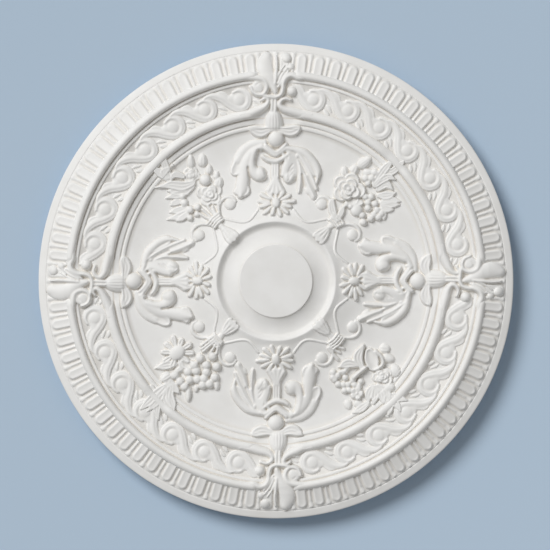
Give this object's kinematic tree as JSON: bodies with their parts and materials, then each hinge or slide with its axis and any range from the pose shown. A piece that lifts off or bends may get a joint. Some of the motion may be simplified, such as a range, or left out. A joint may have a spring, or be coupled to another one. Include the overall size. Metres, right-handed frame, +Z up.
{
  "type": "ceiling rose",
  "caption": "Large round cast ceiling rose with a fluted rim, a band of running scrolls, leaf ornaments on the axes, flower bouquets on the diagonals and a flat seat in the middle.",
  "frame": {"origin": "centre of the flat back, which lies against the ceiling", "axes": "+Z up, out of the back into the ceiling, so the carved face looks down along -Z; the top of the picture is towards -Y and its right is towards +X"},
  "size_m": [0.84, 0.84, 0.05],
  "materials": {
    "white_casting": "matte off-white primer over a smooth casting"
  },
  "bodies": {
    "root": {"ceiling_rose": "white_casting"}
  },
  "joints": []
}
